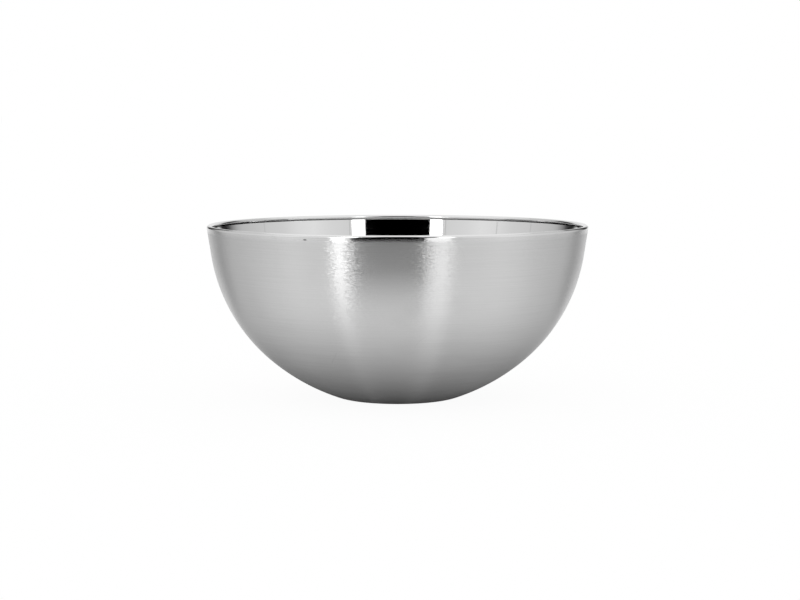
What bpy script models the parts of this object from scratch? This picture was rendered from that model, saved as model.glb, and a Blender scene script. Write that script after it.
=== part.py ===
"""Double-walled shaving bowl.

Two spun steel shells, one inside the other, with air between them so that the lather
keeps warm. The outer shell's top edge is rolled inward into a lip, and the inner shell's
edge is held inside that roll.

Metres, +Z up. The origin is the middle of the base, on the surface the bowl stands on.
"""
import math

import bmesh
import bpy

MM = 0.001

# Driving dimensions
RIM_DIAMETER = 120 * MM
HEIGHT = 55 * MM
SHEET = 0.3 * MM                 # thickness of both shells
LIP_RADIUS = 0.8 * MM            # half the thickness of the rolled lip
FLOOR_GAP = 3.0 * MM             # air between the two floors

# A wall is a straight band under the lip, then arcs that turn it in to a flat floor.
# Each lean is measured from the vertical, and each arc is (radius, lean where it ends).
OUTER_LEAN = math.radians(8.8)
OUTER_ARCS = ((54.2 * MM, math.radians(50)),
              (65.3 * MM, math.radians(70)),
              (16.0 * MM, math.radians(90)))
INNER_LEAN = math.radians(10.6)
INNER_ARCS = ((51.9 * MM, math.radians(50)),
              (61.4 * MM, math.radians(70)),
              (15.0 * MM, math.radians(90)))

# The roll: it goes over the inner shell's edge, down inside, and in under itself
ROLL_END = math.radians(243)     # where the roll stops, counted from straight outward
ROLL_CLEARANCE = 0.2 * MM        # between the inner shell and the outer one, inside the roll
EDGE_INTO_ROLL = 0.1 * MM        # how far the inner edge stands above the roll's middle
LIP_R = RIM_DIAMETER / 2 - LIP_RADIUS
LIP_Z = HEIGHT - LIP_RADIUS

# Facets
TURN_STEPS = 64                  # round the bowl
ARC_STEP = math.radians(6.7)     # along the wall
ROLL_STEP = math.radians(35)     # round the lip
MERGE_DISTANCE = 0.01 * MM       # closes the turn's seam and its points on the axis


def clear_scene():
    for obj in list(bpy.data.objects):
        bpy.data.objects.remove(obj, do_unlink=True)


def steel(name, colour, roughness):
    material = bpy.data.materials.new(name)
    material.use_nodes = True
    shader = material.node_tree.nodes["Principled BSDF"]
    shader.inputs["Base Color"].default_value = (*colour, 1.0)
    shader.inputs["Metallic"].default_value = 1.0
    shader.inputs["Roughness"].default_value = roughness
    material.diffuse_color = (*colour, 1.0)
    return material


def angles(start, end, step):
    """Evenly spaced angles from start to end, both included."""
    count = max(1, math.ceil(abs(end - start) / step))
    return [start + (end - start) * i / count for i in range(count + 1)]


def wall(top_r, top_z, floor_z, lean, arcs):
    """Points (r, z, lean) down the outside of a wall that ends on a flat floor.

    The arcs keep their radii, so the straight band takes up what is left of the height.
    """
    arc_drop = 0.0
    turned = lean
    for radius, end in arcs:
        arc_drop += radius * (math.sin(end) - math.sin(turned))
        turned = end
    band = (top_z - floor_z - arc_drop) / math.cos(lean)

    r = top_r - band * math.sin(lean)
    z = top_z - band * math.cos(lean)
    points = [(top_r, top_z, lean), (r, z, lean)]
    turned = lean
    for radius, end in arcs:
        centre_r = r - radius * math.cos(turned)
        centre_z = z + radius * math.sin(turned)
        for angle in angles(turned, end, ARC_STEP)[1:]:
            r = centre_r + radius * math.cos(angle)
            z = centre_z - radius * math.sin(angle)
            points.append((r, z, angle))
        turned = end
    return points


def inside_of(points):
    """The sheet's other face: the same points moved in by the sheet's thickness."""
    return [(r - SHEET * math.cos(lean), z + SHEET * math.sin(lean)) for r, z, lean in points]


def sheet_section(points, top_edge):
    """Half-section of a sheet: up its inside from the axis, over the top, down its outside."""
    inside = inside_of(points)
    outside = [(r, z) for r, z, _ in points]
    floor_top = (0.0, inside[-1][1])
    floor_bottom = (0.0, outside[-1][1])
    return [floor_top, *reversed(inside), *top_edge, *outside, floor_bottom]


def round_lip(radius, turns):
    """Points on a circle round the roll's middle, at angles counted from straight outward."""
    return [(LIP_R + radius * math.cos(turn), LIP_Z + radius * math.sin(turn)) for turn in turns]


def outer_section():
    """The wall meets the roll where both run the same way, so the outside has no step."""
    top_r = LIP_R + LIP_RADIUS * math.cos(OUTER_LEAN)
    top_z = LIP_Z - LIP_RADIUS * math.sin(OUTER_LEAN)
    points = wall(top_r, top_z, 0.0, OUTER_LEAN, OUTER_ARCS)

    over = angles(0.0, math.pi / 2, ROLL_STEP)
    down = angles(math.pi / 2, math.pi, ROLL_STEP)[1:]
    under = angles(math.pi, ROLL_END, ROLL_STEP)[1:]
    roll = over + down + under
    hollow_side = round_lip(LIP_RADIUS - SHEET, roll)
    outer_side = round_lip(LIP_RADIUS, reversed(roll))
    return sheet_section(points, hollow_side + outer_side)


def inner_section():
    """The wall starts inside the roll, clear of the outer shell's sheet."""
    outward = LIP_RADIUS - SHEET - ROLL_CLEARANCE
    top_r = LIP_R + outward * math.cos(INNER_LEAN) + EDGE_INTO_ROLL * math.sin(INNER_LEAN)
    top_z = LIP_Z - outward * math.sin(INNER_LEAN) + EDGE_INTO_ROLL * math.cos(INNER_LEAN)
    points = wall(top_r, top_z, SHEET + FLOOR_GAP, INNER_LEAN, INNER_ARCS)
    return sheet_section(points, [])


def spin(name, section, material, parent):
    """Turn a half-section once round the Z axis."""
    bm = bmesh.new()
    verts = [bm.verts.new((r, 0.0, z)) for r, z in section]
    for start, end in zip(verts, verts[1:]):
        bm.edges.new((start, end))
    mesh = bpy.data.meshes.new(name)
    bm.to_mesh(mesh)
    bm.free()

    obj = bpy.data.objects.new(name, mesh)
    bpy.context.scene.collection.objects.link(obj)
    mesh.materials.append(material)
    obj.parent = parent

    turn = obj.modifiers.new("Turn", "SCREW")
    turn.axis = "Z"
    turn.angle = math.tau
    turn.steps = TURN_STEPS
    turn.render_steps = TURN_STEPS
    turn.use_merge_vertices = True
    turn.merge_threshold = MERGE_DISTANCE
    turn.use_smooth_shade = True
    return obj


def main():
    clear_scene()
    bowl = bpy.data.objects.new("bowl", None)
    bowl.empty_display_size = RIM_DIAMETER / 2
    bpy.context.scene.collection.objects.link(bowl)

    satin = steel("satin_steel", (0.62, 0.62, 0.62), 0.34)
    mirror = steel("mirror_steel", (0.70, 0.70, 0.70), 0.06)
    spin("outer_shell", outer_section(), satin, bowl)
    spin("inner_shell", inner_section(), mirror, bowl)


main()
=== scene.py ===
# %% [markdown]
# # A shaving bowl in two shells of steel
# A bowl like this keeps lather warm with two thin shells and the air between them. A metal
# spinner turns each shell from a flat disc: a satin outer one, and an inner one that is polished
# like a mirror. The outer shell's top edge is rolled inward over the inner shell's edge, and that
# roll is the lip. The frame already holds both shells as plain faceted solids. This lesson puts
# smooth turned surfaces in their places and gives them their finishes, and it never moves the
# frame.

# %% Load the frame
import math

import bmesh
import bpy
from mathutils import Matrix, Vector


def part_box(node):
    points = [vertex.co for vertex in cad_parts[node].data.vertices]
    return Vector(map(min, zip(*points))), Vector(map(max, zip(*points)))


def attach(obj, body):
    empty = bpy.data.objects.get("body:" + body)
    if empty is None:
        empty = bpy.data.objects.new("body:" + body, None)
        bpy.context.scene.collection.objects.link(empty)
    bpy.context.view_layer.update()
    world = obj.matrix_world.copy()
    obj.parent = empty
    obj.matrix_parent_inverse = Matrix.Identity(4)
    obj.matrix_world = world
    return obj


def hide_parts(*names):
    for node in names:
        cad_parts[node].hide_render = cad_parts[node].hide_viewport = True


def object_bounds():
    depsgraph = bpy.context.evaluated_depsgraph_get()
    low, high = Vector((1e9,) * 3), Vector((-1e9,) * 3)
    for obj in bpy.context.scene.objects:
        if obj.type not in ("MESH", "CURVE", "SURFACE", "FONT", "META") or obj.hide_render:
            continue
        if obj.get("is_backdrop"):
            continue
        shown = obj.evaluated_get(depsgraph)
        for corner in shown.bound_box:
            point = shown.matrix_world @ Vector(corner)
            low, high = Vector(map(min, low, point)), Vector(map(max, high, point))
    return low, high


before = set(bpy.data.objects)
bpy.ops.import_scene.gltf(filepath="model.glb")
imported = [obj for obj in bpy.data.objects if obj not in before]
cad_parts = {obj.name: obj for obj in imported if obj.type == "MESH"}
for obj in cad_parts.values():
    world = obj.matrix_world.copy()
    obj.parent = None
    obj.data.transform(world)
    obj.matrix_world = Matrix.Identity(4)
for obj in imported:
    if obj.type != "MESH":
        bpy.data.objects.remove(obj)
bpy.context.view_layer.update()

MM = 0.001

# %% [markdown]
# ## The measures that both shells share
# Every place comes from the frame: the rim's radius, the bowl's height, the level of the inner
# floor. Only what a box can't say is written here, and it repeats the design's own values: how
# thick the sheet is, how big the lip is, and how the walls lean. A wall runs down a short
# straight band and then turns in along arcs until it is level. A lean is counted from the
# vertical, and an arc is its radius with the lean where it ends.

# %% Measures from the frame
_, outer_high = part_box("outer_shell")
inner_low, inner_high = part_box("inner_shell")
RIM_RADIUS = outer_high.x
HEIGHT = outer_high.z
INNER_FLOOR = inner_low.z
print("rim radius", round(RIM_RADIUS / MM, 2), "height", round(HEIGHT / MM, 2),
      "inner floor", round(INNER_FLOOR / MM, 2), "mm")

# %% Measures of the sheet and the lip
SHEET = 0.3 * MM
LIP_RADIUS = 0.8 * MM
ROLL_CLEARANCE = 0.2 * MM
LIP_R = RIM_RADIUS - LIP_RADIUS
LIP_Z = HEIGHT - LIP_RADIUS
EDGE_INTO_ROLL = inner_high.z - LIP_Z
print("the inner edge stands", round(EDGE_INTO_ROLL / MM, 3), "mm above the roll's middle")

# %% Leans and arcs
OUTER_LEAN = math.radians(8.8)
OUTER_ARCS = ((54.2 * MM, math.radians(50)), (65.3 * MM, math.radians(70)),
              (16.0 * MM, math.radians(90)))
INNER_LEAN = math.radians(10.6)
INNER_ARCS = ((51.9 * MM, math.radians(50)), (61.4 * MM, math.radians(70)),
              (15.0 * MM, math.radians(90)))
print("arcs", len(OUTER_ARCS), "outside and", len(INNER_ARCS), "inside")

# %% [markdown]
# ## The line of a wall
# A turned piece is known by its half-section, the line that a cut through the axis would show. A
# Bezier curve could draw it, but a maker thinks in radii, so the line is worked out. The arcs keep
# their radii, and the straight band under the lip takes up what is left of the height. Each point
# also keeps the wall's lean, because the sheet's other face is the same line, moved square to
# itself by the sheet's thickness.

# %% The outer face of a wall
ARC_STEP = math.radians(1.5)
BAND_STEPS = 8


def angles(start, end, step):
    """Evenly spaced angles from start to end, both included."""
    count = max(1, math.ceil(abs(end - start) / step))
    return [start + (end - start) * i / count for i in range(count + 1)]


def wall(top_r, top_z, floor_z, lean, arcs):
    """Points (r, z, lean) from under the lip down to the flat floor's edge."""
    drop = 0.0
    turned = lean
    for radius, end in arcs:
        drop += radius * (math.sin(end) - math.sin(turned))
        turned = end
    band = (top_z - floor_z - drop) / math.cos(lean)
    points = []
    for i in range(BAND_STEPS + 1):
        down = band * i / BAND_STEPS
        points.append((top_r - down * math.sin(lean), top_z - down * math.cos(lean), lean))
    turned = lean
    for radius, end in arcs:
        r, z, _ = points[-1]
        centre_r = r - radius * math.cos(turned)
        centre_z = z + radius * math.sin(turned)
        for a in angles(turned, end, ARC_STEP)[1:]:
            points.append((centre_r + radius * math.cos(a), centre_z - radius * math.sin(a), a))
        turned = end
    print("wall of", len(points), "points, its band", round(band / MM, 2), "mm")
    return points


# %% The inner face, and the flat floor
FLOOR_STEPS = 10


def other_face(points):
    return [(r - SHEET * math.cos(lean), z + SHEET * math.sin(lean)) for r, z, lean in points]


def floor_line(r, z):
    """From the floor's edge in to the axis."""
    return [(r * (1 - i / FLOOR_STEPS), z) for i in range(1, FLOOR_STEPS + 1)]


print("a floor is drawn in", len(floor_line(RIM_RADIUS, 0)), "rings")

# %% [markdown]
# ## Turning a line into a shell
# The Screw modifier could turn the line, but it gives every face one material, and here a buffed
# lip and a satin wall meet on the same sheet. So the rings are made in mesh code. Each stretch of
# the line brings its own material, and a point on the axis becomes one vertex with a fan of
# triangles round it. A mirror shows every flat, so the turn has 256 steps.

# %% Rings and the skin between them
TURN_STEPS = 256
ON_AXIS = 0.01 * MM


def ring(bm, r, z):
    if r < ON_AXIS:
        return [bm.verts.new((0, 0, z))]
    turns = [math.tau * i / TURN_STEPS for i in range(TURN_STEPS)]
    return [bm.verts.new((r * math.cos(t), r * math.sin(t), z)) for t in turns]


def skin(bm, before, after, slot):
    """Faces between two rings, their outer sides facing away from the sheet."""
    for i in range(TURN_STEPS):
        j = (i + 1) % TURN_STEPS
        corners = [before[i % len(before)], after[i % len(after)],
                   after[j % len(after)], before[j % len(before)]]
        face = bm.faces.new(list(dict.fromkeys(corners)))
        face.material_index = slot
        face.smooth = True


print("a ring has", TURN_STEPS, "points,", round(math.tau * RIM_RADIUS / TURN_STEPS / MM, 2),
      "mm apart at the rim")

# %% The shell
SHARP = math.radians(35)


def turn_shell(name, stretches):
    """stretches: (points, material), from the axis up the inside and down the outside."""
    mesh = bpy.data.meshes.new(name)
    materials = list(dict.fromkeys(material for _, material in stretches))
    for material in materials:
        mesh.materials.append(material)
    bm = bmesh.new()
    before = None
    for points, material in stretches:
        for r, z in points:
            after = ring(bm, r, z)
            if before is not None:
                skin(bm, before, after, materials.index(material))
            before = after
    bm.to_mesh(mesh)
    bm.free()
    mesh.set_sharp_from_angle(angle=SHARP)
    shell = bpy.data.objects.new(name, mesh)
    bpy.context.scene.collection.objects.link(shell)
    print(name, len(mesh.polygons), "faces in", len(materials), "materials")
    return shell


# %% [markdown]
# ## Small helpers for shader nodes
# A material is a tree of nodes, and wiring one by hand takes three lines for each sum. These
# helpers make one node a call and hand back its output, so that a formula reads like a formula.
# The same helpers fill a material and a node group, because both are node trees.

# %% Node helpers
def put(tree, socket, value):
    """Feed a socket from another socket, or set it to a number."""
    if isinstance(value, bpy.types.NodeSocket):
        tree.links.new(value, socket)
    else:
        socket.default_value = value


def calc(tree, operation, *values):
    node = tree.nodes.new("ShaderNodeMath")
    node.operation = operation
    for socket, value in zip(node.inputs, values):
        put(tree, socket, value)
    return node.outputs["Value"]


def remap(tree, value, low, high, to_low=0.0, to_high=1.0, smooth=False):
    node = tree.nodes.new("ShaderNodeMapRange")
    node.interpolation_type = "SMOOTHSTEP" if smooth else "LINEAR"
    for label, number in (("Value", value), ("From Min", low), ("From Max", high),
                          ("To Min", to_low), ("To Max", to_high)):
        put(tree, node.inputs[label], number)
    return node.outputs["Result"]


print("helpers for sums: put, calc, remap")

# %% Node helpers for places
def place(tree):
    """Where the point is on the bowl, as x, y and z sockets and as one vector."""
    vector = tree.nodes.new("ShaderNodeTexCoord").outputs["Object"]
    split = tree.nodes.new("ShaderNodeSeparateXYZ")
    tree.links.new(vector, split.inputs[0])
    return (*split.outputs, vector)


def join(tree, x, y, z):
    node = tree.nodes.new("ShaderNodeCombineXYZ")
    for socket, value in zip(node.inputs, (x, y, z)):
        put(tree, socket, value)
    return node.outputs[0]


def length(tree, x, y):
    squares = [calc(tree, "MULTIPLY", side, side) for side in (x, y)]
    return calc(tree, "SQRT", calc(tree, "ADD", *squares))


def noise(tree, vector, scale, detail, roughness=0.5):
    node = tree.nodes.new("ShaderNodeTexNoise")
    tree.links.new(vector, node.inputs["Vector"])
    for label, number in (("Scale", scale), ("Detail", detail), ("Roughness", roughness)):
        put(tree, node.inputs[label], number)
    return node.outputs["Fac"]


print("helpers for places: place, join, length, noise")

# %% Node helpers for groups
FLOAT = "NodeSocketFloat"
VECTOR = "NodeSocketVector"


def new_group(name, inputs, outputs):
    group = bpy.data.node_groups.new(name, "ShaderNodeTree")
    for label, value in inputs:
        socket = group.interface.new_socket(label, in_out="INPUT", socket_type=FLOAT)
        socket.default_value = value
    for label, kind in outputs:
        group.interface.new_socket(label, in_out="OUTPUT", socket_type=kind)
    print("group", name, "gives", [label for label, _ in outputs])
    given = group.nodes.new("NodeGroupInput").outputs
    result = group.nodes.new("NodeGroupOutput").inputs
    return group, given, result


def place_group(tree, group, values):
    node = tree.nodes.new("ShaderNodeGroup")
    node.node_tree = group
    for label, value in values.items():
        put(tree, node.inputs[label], value)
    return node.outputs


print("helpers for groups: new_group, place_group")

# %% [markdown]
# ## Turned grain
# Both shells were finished on a lathe, so every mark runs round the bowl. A scan with UV maps could
# carry such lines, but a noise that is stretched round the axis has no seam and suits any size. The
# group finds a point's place on the wall in two numbers, how far round and how far down, and reads
# the noise there. How far down is an angle seen from the middle of the mouth, because height alone
# would crowd the lines together near the base.
#
# Besides the lines, the group gives a normal. A brush doesn't cut one clean groove. It leaves short
# strokes that each face a little more to the left or to the right, and that is what breaks up the
# edge of a highlight. A Bump node can't tilt a surface along its own grooves, so the group tilts
# the normal sideways by the same noise.

# %% Turned grain group
def make_turned_grain():
    group, given, result = new_group(
        "Turned grain",
        [("Mouth Height", HEIGHT), ("Wall Radius", RIM_RADIUS), ("Line Width", 0.3 * MM),
         ("Line Length", 30 * MM), ("Tilt", 0.0)],
        [("Lines", FLOAT), ("Tilted Normal", VECTOR)])
    x, y, z, _ = place(group)
    radius = calc(group, "MAXIMUM", length(group, x, y), ON_AXIS)
    depth = calc(group, "SUBTRACT", given["Mouth Height"], z)
    down = calc(group, "MULTIPLY", calc(group, "ARCTAN2", radius, depth), given["Wall Radius"])
    reach = calc(group, "DIVIDE", given["Wall Radius"], given["Line Length"])
    outward = [calc(group, "DIVIDE", side, radius) for side in (x, y)]
    on_wall = join(group, *[calc(group, "MULTIPLY", side, reach) for side in outward],
                   calc(group, "DIVIDE", down, given["Line Width"]))
    lines = noise(group, on_wall, 1.0, 2.0, 0.6)
    put(group, result["Lines"], lines)

    lean = calc(group, "MULTIPLY", calc(group, "SUBTRACT", lines, 0.5), given["Tilt"])
    opposite = calc(group, "MULTIPLY", lean, -1.0)
    sideways = join(group, calc(group, "MULTIPLY", outward[1], opposite),
                    calc(group, "MULTIPLY", outward[0], lean), 0.0)
    tilted = group.nodes.new("ShaderNodeVectorMath")
    tilted.operation = "ADD"
    group.links.new(group.nodes.new("ShaderNodeNewGeometry").outputs["Normal"], tilted.inputs[0])
    group.links.new(sideways, tilted.inputs[1])
    unit = group.nodes.new("ShaderNodeVectorMath")
    unit.operation = "NORMALIZE"
    group.links.new(tilted.outputs[0], unit.inputs[0])
    put(group, result["Tilted Normal"], unit.outputs[0])
    return group


turned_grain = make_turned_grain()

# %% [markdown]
# ## Handling marks
# A bowl that is rinsed and wiped every day gets a few hairline scratches and faint smudges, and
# neither follows the lathe. A hairline is where a slow noise passes through its middle value: that
# is always a thin curve, and a second noise keeps only short pieces of it. Smudges are soft blots
# that only make the gloss a little duller.

# %% Handling marks group
def make_handling_marks():
    group, given, result = new_group(
        "Handling marks", [("Hairline Spacing", 25 * MM), ("Smudge Size", 18 * MM)],
        [("Hairlines", FLOAT), ("Smudges", FLOAT)])
    *_, where = place(group)
    scale = calc(group, "DIVIDE", 1.0, given["Hairline Spacing"])
    field = noise(group, where, scale, 1.0, 0.4)
    near = calc(group, "ABSOLUTE", calc(group, "SUBTRACT", field, 0.5))
    line = remap(group, near, 0.0, 0.0015, 1.0, 0.0)
    breaks = noise(group, where, calc(group, "MULTIPLY", scale, 4.0), 1.0)
    pieces = remap(group, breaks, 0.58, 0.66)
    put(group, result["Hairlines"], calc(group, "MULTIPLY", line, pieces))
    blot = noise(group, where, calc(group, "DIVIDE", 1.0, given["Smudge Size"]), 3.0, 0.6)
    put(group, result["Smudges"], remap(group, blot, 0.5, 0.75, smooth=True))
    return group


handling_marks = make_handling_marks()

# %% [markdown]
# ## What the three steels share
# All three finishes are the same metal, so they share a fully metallic Principled shader with a
# neutral grey. What sets them apart is how rough they are and in which direction. The tone varies
# a little over the surface, so it reaches Base Color through a node.

# %% Steel helpers
def new_steel(name):
    material = bpy.data.materials.new(name)
    material.use_nodes = True
    shader = material.node_tree.nodes["Principled BSDF"].inputs
    shader["Metallic"].default_value = 1.0
    print("material", name)
    return material, material.node_tree, shader


def grey(tree, shader, tone):
    colour = tree.nodes.new("ShaderNodeCombineColor")
    for channel in colour.inputs:
        tree.links.new(tone, channel)
    tree.links.new(colour.outputs[0], shader["Base Color"])


def bump(tree, shader, height, distance, normal=None):
    node = tree.nodes.new("ShaderNodeBump")
    node.inputs["Distance"].default_value = distance
    tree.links.new(height, node.inputs["Height"])
    if normal is not None:
        tree.links.new(normal, node.inputs["Normal"])
    tree.links.new(node.outputs["Normal"], shader["Normal"])


print("helpers for steel: new_steel, grey, bump")

# %% [markdown]
# ## Satin steel
# The outside is brushed with an abrasive pad while it turns. Fine grooves run round the bowl, so a
# highlight stays sharp from side to side and is pulled out up and down the wall. That is what the
# Anisotropic input does, with a Tangent node that runs round the axis. Real grooves in the mesh
# would need millions of faces. Two grains are laid over each other: long fine lines that change
# the tone, and short strokes that fray the highlights. The wall is smoother just under the lip,
# and the strokes die out there, because the buffing wheel that polished the lip ran over its edge.

# %% A mark at one place
def mark(tree, centre, size):
    """1 in the middle of a small mark on the wall, 0 outside it. size is half of each side."""
    x, y, z, _ = place(tree)
    sides = [calc(tree, "DIVIDE", calc(tree, "SUBTRACT", side, middle), half)
             for side, middle, half in zip((x, y, z), centre, size)]
    away = length(tree, length(tree, sides[0], sides[1]), sides[2])
    return remap(tree, away, 0.4, 1.0, 1.0, 0.0, smooth=True)


# The nick is a shallow dent, made by the bump. Its dark tone is painted shade in the dent.
NICK_TURN = math.radians(-26.6)
NICK_R = RIM_RADIUS - 0.5 * MM
NICK = (NICK_R * math.sin(NICK_TURN), -NICK_R * math.cos(NICK_TURN), HEIGHT - 1.6 * MM)
NICK_SIZE = (0.95 * MM, 0.95 * MM, 0.32 * MM)
print("a nick under the lip at", [round(v / MM, 1) for v in NICK], "mm")

# %% Satin steel
BUFFED_TO = 1.8 * MM
EDGE_ROUGHNESS = 0.14
SATIN_ROUGHNESS = (0.30, 0.35)
SATIN_TONE = (0.605, 0.665)
STROKE_TILT = 0.21
SMUDGE_DULLS = 0.03
HAIRLINE_DARKENS = 0.06
# How dark the nick is painted: painted shade in the dent, not a colour of the steel.
NICK_PAINTED_SHADE = 0.12
NICK_DEPTH = 0.05 * MM
GROOVE_SHARE = 0.1  # how deep a groove is, compared with the nick


def make_satin_steel():
    material, tree, shader = new_steel("satin_steel")
    shader["Anisotropic"].default_value = 1.0
    shader["Anisotropic Rotation"].default_value = 0.25
    tangent = tree.nodes.new("ShaderNodeTangent")
    tangent.direction_type = "RADIAL"
    tangent.axis = "Z"
    tree.links.new(tangent.outputs["Tangent"], shader["Tangent"])

    lines = place_group(tree, turned_grain, {"Line Width": 0.22 * MM, "Line Length": 30 * MM})
    brushed = remap(tree, place(tree)[2], LIP_Z, LIP_Z - BUFFED_TO, smooth=True)
    strokes = place_group(tree, turned_grain,
                          {"Line Width": 0.28 * MM, "Line Length": 0.9 * MM,
                           "Tilt": calc(tree, "MULTIPLY", brushed, STROKE_TILT)})
    marks = place_group(tree, handling_marks,
                        {"Hairline Spacing": 30 * MM, "Smudge Size": 20 * MM})
    nick_dent_and_shade = mark(tree, NICK, NICK_SIZE)

    rough = remap(tree, lines["Lines"], 0.3, 0.7, *SATIN_ROUGHNESS)
    rough = calc(tree, "ADD", rough, calc(tree, "MULTIPLY", marks["Smudges"], SMUDGE_DULLS))
    put(tree, shader["Roughness"], remap(tree, brushed, 0.0, 1.0, EDGE_ROUGHNESS, rough))

    tone = remap(tree, lines["Lines"], 0.25, 0.75, *SATIN_TONE)
    darker = calc(tree, "MULTIPLY", marks["Hairlines"], HAIRLINE_DARKENS)
    tone = calc(tree, "SUBTRACT", tone, darker)
    # Painted shade: the tone is darkened where the nick is, for the shade in the dent.
    tone = calc(tree, "MULTIPLY", tone, remap(tree, nick_dent_and_shade, 0.0, 1.0, 1.0, NICK_PAINTED_SHADE))
    grey(tree, shader, tone)

    grooves = calc(tree, "MULTIPLY", lines["Lines"], GROOVE_SHARE)
    bump(tree, shader, calc(tree, "SUBTRACT", grooves, nick_dent_and_shade), NICK_DEPTH, strokes["Tilted Normal"])
    return material


satin_steel = make_satin_steel()

# %% [markdown]
# ## Buffed steel
# The lip is rolled over and then buffed with a wheel, which leaves it bright but not a mirror. Its
# lines are much finer than the brushed ones, and they only vary the roughness a little.

# %% Buffed steel
BUFFED_ROUGHNESS = (0.06, 0.14)
BUFFED_TONE = (0.70, 0.74)


def make_buffed_steel():
    material, tree, shader = new_steel("buffed_steel")
    fine = place_group(tree, turned_grain, {"Line Width": 0.12 * MM, "Line Length": 60 * MM})
    put(tree, shader["Roughness"], remap(tree, fine["Lines"], 0.3, 0.7, *BUFFED_ROUGHNESS))
    grey(tree, shader, remap(tree, fine["Lines"], 0.3, 0.7, *BUFFED_TONE))
    return material


buffed_steel = make_buffed_steel()

# %% [markdown]
# ## Mirror steel
# The inside is polished until it shows its surroundings. A perfect mirror looks like computer
# glass, so it keeps faint turned lines, a few hairlines from the brush's handle, and dull smudges
# of dried soap.

# %% Mirror steel
MIRROR_ROUGHNESS = (0.02, 0.045)
MIRROR_TONE = (0.72, 0.66)  # clean, and in a hairline
POLISH_DEPTH = 0.0003 * MM


def make_mirror_steel():
    material, tree, shader = new_steel("mirror_steel")
    fine = place_group(tree, turned_grain, {"Line Width": 0.25 * MM, "Line Length": 80 * MM})
    marks = place_group(tree, handling_marks,
                        {"Hairline Spacing": 22 * MM, "Smudge Size": 16 * MM})
    rough = remap(tree, fine["Lines"], 0.3, 0.7, *MIRROR_ROUGHNESS)
    rough = calc(tree, "ADD", rough, calc(tree, "MULTIPLY", marks["Smudges"], SMUDGE_DULLS))
    put(tree, shader["Roughness"], rough)
    grey(tree, shader, remap(tree, marks["Hairlines"], 0.0, 1.0, *MIRROR_TONE))
    bump(tree, shader, fine["Lines"], POLISH_DEPTH)
    return material


mirror_steel = make_mirror_steel()

# %% [markdown]
# ## The outer shell
# This is one sheet: the base, the satin wall, and the lip, where the sheet rolls over inward and in
# under itself. The wall meets the roll where both run the same way, so the outside has no step. The
# line is put together from three stretches. It goes up the side that faces the air gap, round the
# roll's own edge, back over the buffed outside of the roll, and down the satin wall to the base.

# %% The line of the outer shell
ROLL_END = math.radians(243)
ROLL_STEP = math.radians(6)


def lip_ring(radius, turns):
    return [(LIP_R + radius * math.cos(a), LIP_Z + radius * math.sin(a)) for a in turns]


outer_wall = wall(LIP_R + LIP_RADIUS * math.cos(OUTER_LEAN),
                  LIP_Z - LIP_RADIUS * math.sin(OUTER_LEAN), 0.0, OUTER_LEAN, OUTER_ARCS)
outer_face = [(r, z) for r, z, _ in outer_wall]
air_face = other_face(outer_wall)
roll = (angles(-OUTER_LEAN, 0.0, ROLL_STEP)[1:] + angles(0.0, math.pi / 2, ROLL_STEP)[1:]
        + angles(math.pi / 2, ROLL_END, ROLL_STEP)[1:])
print("base", round(2 * outer_face[-1][0] / MM, 1), "mm across, roll of", len(roll), "points")

# %% Outer shell
air_side = list(reversed(air_face + floor_line(*air_face[-1])))
air_side += lip_ring(LIP_RADIUS - SHEET, roll)
outer_shell = turn_shell("outer_shell_turned", [
    (air_side, satin_steel),
    (lip_ring(LIP_RADIUS, reversed(roll)), buffed_steel),
    (outer_face + floor_line(*outer_face[-1]), satin_steel)])
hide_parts("outer_shell")
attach(outer_shell, "root")

# %% [markdown]
# ## The inner shell
# The inner shell is a plain sheet. Its top edge ends inside the roll, just clear of it, and from
# there it falls away from the outer wall, so that the air gap grows from almost nothing under the
# lip to 3 mm at the floor. It is made the same way, with one finish on both faces.

# %% Inner shell
outward = LIP_RADIUS - SHEET - ROLL_CLEARANCE
inner_wall = wall(LIP_R + outward * math.cos(INNER_LEAN) + EDGE_INTO_ROLL * math.sin(INNER_LEAN),
                  inner_high.z, INNER_FLOOR, INNER_LEAN, INNER_ARCS)
back_face = [(r, z) for r, z, _ in inner_wall]
mirror_face = other_face(inner_wall)
inner_shell = turn_shell("inner_shell_turned", [
    (list(reversed(mirror_face + floor_line(*mirror_face[-1]))), mirror_steel),
    (back_face + floor_line(*back_face[-1]), mirror_steel)])
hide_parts("inner_shell")
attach(inner_shell, "root")

# %% [markdown]
# ## The floor
# The bowl stands on white paper that fades into a white studio. With bare paper the bowl would sit
# in a wide grey pool of its own shade. In a studio the paper is lit from behind as well, and that
# is why it has a glow of its own here: only a faint shadow is left where the bowl touches it. Its
# colour and its glow add up to the studio's white, so that no horizon shows.

# %% Floor
def plain_mesh(name, corners, faces, material):
    mesh = bpy.data.meshes.new(name)
    mesh.from_pydata(corners, [], faces)
    mesh.materials.append(material)
    obj = bpy.data.objects.new(name, mesh)
    bpy.context.scene.collection.objects.link(obj)
    obj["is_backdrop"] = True
    return obj


def lit_cloth(name, colour, glow):
    """A matt white that is lit from behind: what it reflects, and what it gives itself."""
    material = bpy.data.materials.new(name)
    material.use_nodes = True
    shader = material.node_tree.nodes["Principled BSDF"].inputs
    shader["Base Color"].default_value = (colour, colour, colour, 1)
    shader["Specular IOR Level"].default_value = 0.0
    shader["Emission Color"].default_value = (1, 1, 1, 1)
    shader["Emission Strength"].default_value = glow
    return material


FLOOR_REACH = 30.0
FLOOR_Z = -0.1 * MM
PAPER = 0.05
square = ((-1, -1), (1, -1), (1, 1), (-1, 1))
corners = [(x * FLOOR_REACH, y * FLOOR_REACH, FLOOR_Z) for x, y in square]
floor = plain_mesh("floor", corners, [(0, 1, 2, 3)], lit_cloth("white_paper", PAPER, 1 - PAPER))
floor.visible_glossy = False
print("paper", 2 * FLOOR_REACH, "m across")

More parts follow.
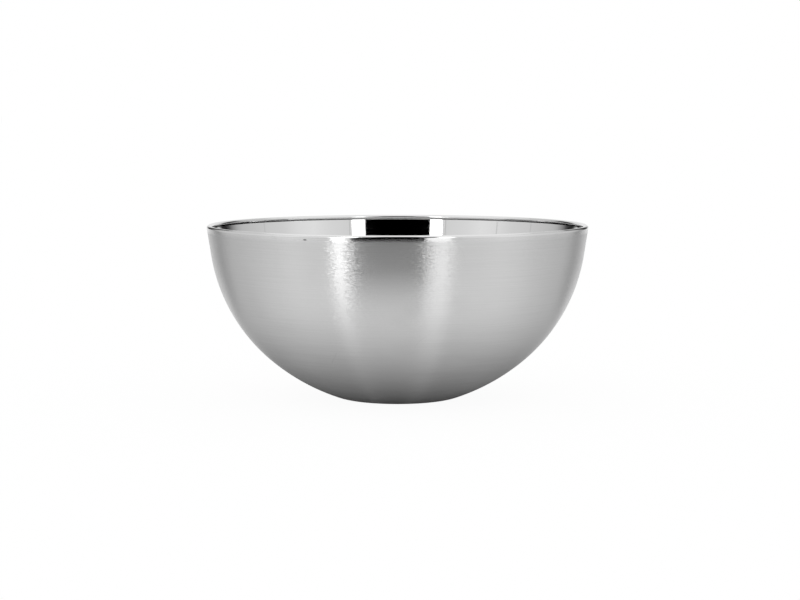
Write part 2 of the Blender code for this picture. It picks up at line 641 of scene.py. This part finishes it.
# %% [markdown]
# ## The light tent
# Polished steel has no look of its own: it shows what stands round it. A studio puts it in a tent
# of white cloth with one opening for the camera, a bright strip on each side of the opening, and
# a dark gap on each side of the back. A world image could hold all that, but plain curved cloths
# are easier to understand and to move. They are seen only by rays that the steel reflects, so that
# the camera looks in from outside and the paper keeps its even light.
#
# A place in the tent is an angle from the front, positive to the right, and a height. A cloth is
# given as stops, each an angle with the glow there, and the glow runs smoothly from stop to stop.
# It is stored in the mesh as an attribute, which the cloth's material reads.

# %% A cloth of the tent
TENT_RADIUS = 0.40
TENT_TOP = 0.45
TENT_BOTTOM = -0.25
CLOTH_STEP = 3.0
GLOW = "glow"


def only_reflected(obj):
    obj.visible_camera = False
    obj.visible_diffuse = False
    obj.visible_shadow = False


def on_ring(turn, radius, z):
    turn = math.radians(turn)
    return (radius * math.sin(turn), -radius * math.cos(turn), z)


def glowing_cloth():
    material = lit_cloth("tent_cloth", 0.0, 1.0)
    tree = material.node_tree
    reader = tree.nodes.new("ShaderNodeAttribute")
    reader.attribute_name = GLOW
    put(tree, tree.nodes["Principled BSDF"].inputs["Emission Strength"], reader.outputs["Fac"])
    return material


tent_cloth = glowing_cloth()
print("a tent", 2 * TENT_RADIUS, "m across, cloth", tent_cloth.name)

# %% Hang a cloth
def hang(name, bottom, top, low, high, radius=TENT_RADIUS):
    """bottom and top: the stops (angle, glow) along the two edges, as many in each."""
    corners = []
    glows = []
    for (low_from, low_to, high_from, high_to) in zip(bottom, bottom[1:], top, top[1:]):
        steps = max(1, math.ceil(abs(low_to[0] - low_from[0]) / CLOTH_STEP))
        for i in range(steps + 1):
            for start, end, z in ((low_from, low_to, low), (high_from, high_to, high)):
                turn, glow = [a + (b - a) * i / steps for a, b in zip(start, end)]
                corners.append(on_ring(turn, radius, z))
                glows.append(glow)
    faces = [(i, i + 2, i + 3, i + 1) for i in range(0, len(corners) - 2, 2)]
    panel = plain_mesh(name, corners, faces, tent_cloth)
    panel.data.attributes.new(GLOW, "FLOAT", "POINT").data.foreach_set("value", glows)
    only_reflected(panel)


def even(turns, glow):
    return [(turn, glow) for turn in turns]


print("a cloth bends at least every", CLOTH_STEP, "degrees")

# %% [markdown]
# ## The opening and its two strips
# The camera looks in through a dark opening with a round top. It is what makes the middle of the
# bowl grey and the middle of its mouth black. A bright strip stands at each side of it. The mouth
# mirrors the upper stretch of each strip, so that one is upright and has crisp edges. The wall
# mirrors the low stretch, which starts below the table's level, and the slanted stretch between
# them bends each highlight a little as it goes down and fades. Each stretch has an even glow, so it
# is given as the two ends of its lower edge, the two ends of its upper edge, and its two heights.

# %% The opening and the two strips
STRIP_BOTTOM = -0.12
STRIP_LOW = 0.08
BEND = 0.17
STRIP_TOP = 0.32
STRIP_RADIUS = 0.39
OPENING_TOP = (-23, 21)
LEFT = (-32.0, -23.2)
LEFT_LOW = (-36.5, -29.3)
LEFT_SLANT = (-38.5, -34)
RIGHT = (23.3, 32.6)
RIGHT_LOW = (15.5, 29.5)
RIGHT_SLANT = (13, 25)
OPENING = (LEFT[1], RIGHT[0])
DARK = (("opening_foot", (-28, 19), OPENING, TENT_BOTTOM, BEND),
        ("opening", OPENING, OPENING_TOP, BEND, STRIP_TOP),
        ("opening_arch", OPENING_TOP, (-12, 12), STRIP_TOP, TENT_TOP))
BRIGHT = (("left_low", 2.9, LEFT_LOW, LEFT_LOW, STRIP_BOTTOM, STRIP_LOW),
          ("left_slanted", 1.9, LEFT_SLANT, LEFT, STRIP_LOW, BEND),
          ("left_upright", 4, LEFT, LEFT, BEND, STRIP_TOP),
          ("right_low", 1.55, RIGHT_LOW, RIGHT_LOW, STRIP_BOTTOM, STRIP_LOW),
          ("right_slanted", 0.8, RIGHT_SLANT, RIGHT, STRIP_LOW, BEND),
          ("right_upright", 3, RIGHT, RIGHT, BEND, STRIP_TOP))
for name, lower, upper, low, high in DARK:
    hang(name, even(lower, 0), even(upper, 0), low, high)
for name, glow, lower, upper, low, high in BRIGHT:
    hang(name, even(lower, glow), even(upper, glow), low, high, STRIP_RADIUS)
print("an opening of", OPENING[1] - OPENING[0], "degrees between two strips")

# %% [markdown]
# ## The walls of the tent
# Both sides are alike. The cloth is brightest a third of the way round, where the lamps outside
# stand. Towards the back it has a dark gap on each side. Above the table's level the gap is nearly
# black, and that is the black that runs into the two ends of the mouth. Below that level it is only
# grey, and it draws a soft darker line down each side of the wall. The very back is bright again,
# and it edges the lip and the wall with light. Thin seams cross the cloth.

# %% The walls
SHOULDER = 0.055
REAR_TOP = 0.27
FRONT_WALL = ((28, 0.86), (36, 0.86), (50, 0.92), (61, 1.00), (74, 0.95), (86, 0.84),
              (100, 0.79), (116, 0.70))
REAR_ABOVE = ((116, 0.70), (125, 0.64), (130, 0.54), (136, 0.32), (141, 0.10), (145, 0.03),
              (152, 0.03), (157, 0.50), (162, 0.85), (180, 0.95))
REAR_BELOW = ((116, 0.70), (122, 0.60), (127, 0.42), (133, 0.42), (140, 0.64), (152, 0.82),
              (180, 0.92))
REAR_HIGH = ((116, 0.70), (180, 0.80))
LAYERS = (("wall", FRONT_WALL, TENT_BOTTOM, TENT_TOP),
          ("rear_above", REAR_ABOVE, SHOULDER, REAR_TOP),
          ("rear_below", REAR_BELOW, TENT_BOTTOM, SHOULDER),
          ("rear_high", REAR_HIGH, REAR_TOP, TENT_TOP))
SEAMS = {"left": (34, 73, 102), "right": (34, 102)}
SEAM_WIDTH = 0.6
SEAM_GLOW = 0.62
for word, side in (("left", -1), ("right", 1)):
    for label, stops, low, high in LAYERS:
        turned = [(side * turn, glow) for turn, glow in stops]
        hang(f"{label}_{word}", turned, turned, low, high)
    for seam in SEAMS[word]:
        line = even((side * seam, side * (seam + SEAM_WIDTH)), SEAM_GLOW)
        hang(f"seam_{seam}_{word}", line, line, TENT_BOTTOM, TENT_TOP, STRIP_RADIUS)
print(2 * len(LAYERS), "cloths and", sum(map(len, SEAMS.values())), "seams")

# %% [markdown]
# ## The roof of the tent
# The roof is a flat white cloth. It gives the lip its white line. A dark flap at its front edge
# belongs to the opening, and it keeps that line thin.

# %% The roof
FLAP_WIDTH = 0.20
FLAP_DEPTH = 0.14
FLAP_DROP = 1 * MM
ROOF_GLOW = 1.1


def lay(name, corners, material):
    panel = plain_mesh(name, corners, [tuple(range(len(corners)))], material)
    only_reflected(panel)
    print(name, len(corners), "corners")


all_round = range(0, 360, 5)
edge = [on_ring(turn, TENT_RADIUS, TENT_TOP) for turn in all_round]
lay("roof", edge, lit_cloth("roof", 0, ROOF_GLOW))
arch = [math.radians(turn) for turn in range(0, 181, 15)]
edge = [(FLAP_WIDTH / 2 * math.cos(turn), FLAP_DEPTH * math.sin(turn) - TENT_RADIUS,
         TENT_TOP - FLAP_DROP) for turn in arch]
lay("roof_flap", edge, lit_cloth("roof_flap", 0, 0))

# %% [markdown]
# ## The table as the steel sees it
# The satin wall leans outward, so most of what it mirrors is the top of a small round table. It is
# brighter in front, where the strips light it, most of all between the two, and it grows dark
# under the bowl. The real shade could be left to the paper, but the paper is kept bright for the
# camera. So the steel gets a tabletop of its own, with the shade worked out from how far a point
# is from the base.

# %% Tabletop
TABLE_RADIUS = 0.130
TABLE_Z = -0.3 * MM
SHADE_FROM = 8 * MM
SHADE_TO = 98 * MM
FRONT_GLOW = 1.15
REAR_GLOW = 0.60
MIDDLE_GAIN = 1.20
MIDDLE_FADE = (-1.0, -0.88)  # counted as to_the_rear: -1 is straight in front, 1 is the rear


def make_tabletop():
    material = lit_cloth("tabletop", 0.0, 1.0)
    tree = material.node_tree
    x, y, *_ = place(tree)
    away = calc(tree, "MAXIMUM", length(tree, x, y), ON_AXIS)
    open_to_light = remap(tree, away, SHADE_FROM, SHADE_TO, smooth=True)
    to_the_rear = calc(tree, "DIVIDE", y, away)
    light = remap(tree, to_the_rear, -0.9, 0.5, FRONT_GLOW, REAR_GLOW, smooth=True)
    middle = remap(tree, to_the_rear, *MIDDLE_FADE, MIDDLE_GAIN, 1.0, smooth=True)
    light = calc(tree, "MULTIPLY", light, middle)
    put(tree, tree.nodes["Principled BSDF"].inputs["Emission Strength"],
        calc(tree, "MULTIPLY", open_to_light, light))
    return material


edge = [on_ring(turn, TABLE_RADIUS, TABLE_Z) for turn in all_round]
lay("table", edge, make_tabletop())

# %% [markdown]
# ## The studio
# Everything outside the tent is plain white. It lights the paper evenly from all sides, which is
# the softest light there is, and it is what the camera sees behind the bowl. A sky texture or a
# lamp would bring a direction, and a hard shadow with it.

# %% World
world = bpy.data.worlds.new("white_studio")
bpy.context.scene.world = world
world.use_nodes = True
world.node_tree.nodes["Background"].inputs["Color"].default_value = (1, 1, 1, 1)
world.node_tree.nodes["Background"].inputs["Strength"].default_value = 1.0
print("world strength", world.node_tree.nodes["Background"].inputs["Strength"].default_value)

# %% [markdown]
# ## The camera
# The bowl is seen almost level, from a little over 3 degrees above the rim, which is why its mouth
# is a thin ellipse. A long lens from 63 cm keeps the walls from spreading. The camera first looks
# at the middle of the mouth, and then tips down a little, so that the bowl stands just above the
# middle of the view. Tipping the camera is simpler than shifting its lens, and it works from any
# other side too.

# %% Camera
ELEVATION = math.radians(3.13)
TIP_DOWN = math.radians(2.17)
TURN_RIGHT = math.radians(0.07)
DISTANCE = 0.632
LENS = 90.0
SENSOR = 36.0
aim = Vector((0, 0, HEIGHT))
camera = bpy.data.objects.new("camera", bpy.data.cameras.new("camera"))
bpy.context.scene.collection.objects.link(camera)
camera.data.lens = LENS
camera.data.sensor_width = SENSOR
camera.data.clip_start = 0.01
camera.location = aim + DISTANCE * Vector((0, -math.cos(ELEVATION), math.sin(ELEVATION)))
camera.rotation_euler = (math.pi / 2 - ELEVATION - TIP_DOWN, 0, -TURN_RIGHT)
bpy.context.scene.camera = camera
bpy.context.scene.view_settings.view_transform = "Standard"
print("camera", round((camera.location - aim).length, 3), "m from the rim's middle")

# %% [markdown]
# ## The size of the turned shells
# The turned shells must fill the frame's box and no more. Their box, without the paper and the
# tent, is printed here.

# %% Size
low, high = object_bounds()
print("visual", [round(v / MM, 3) for v in (*low, *high)])
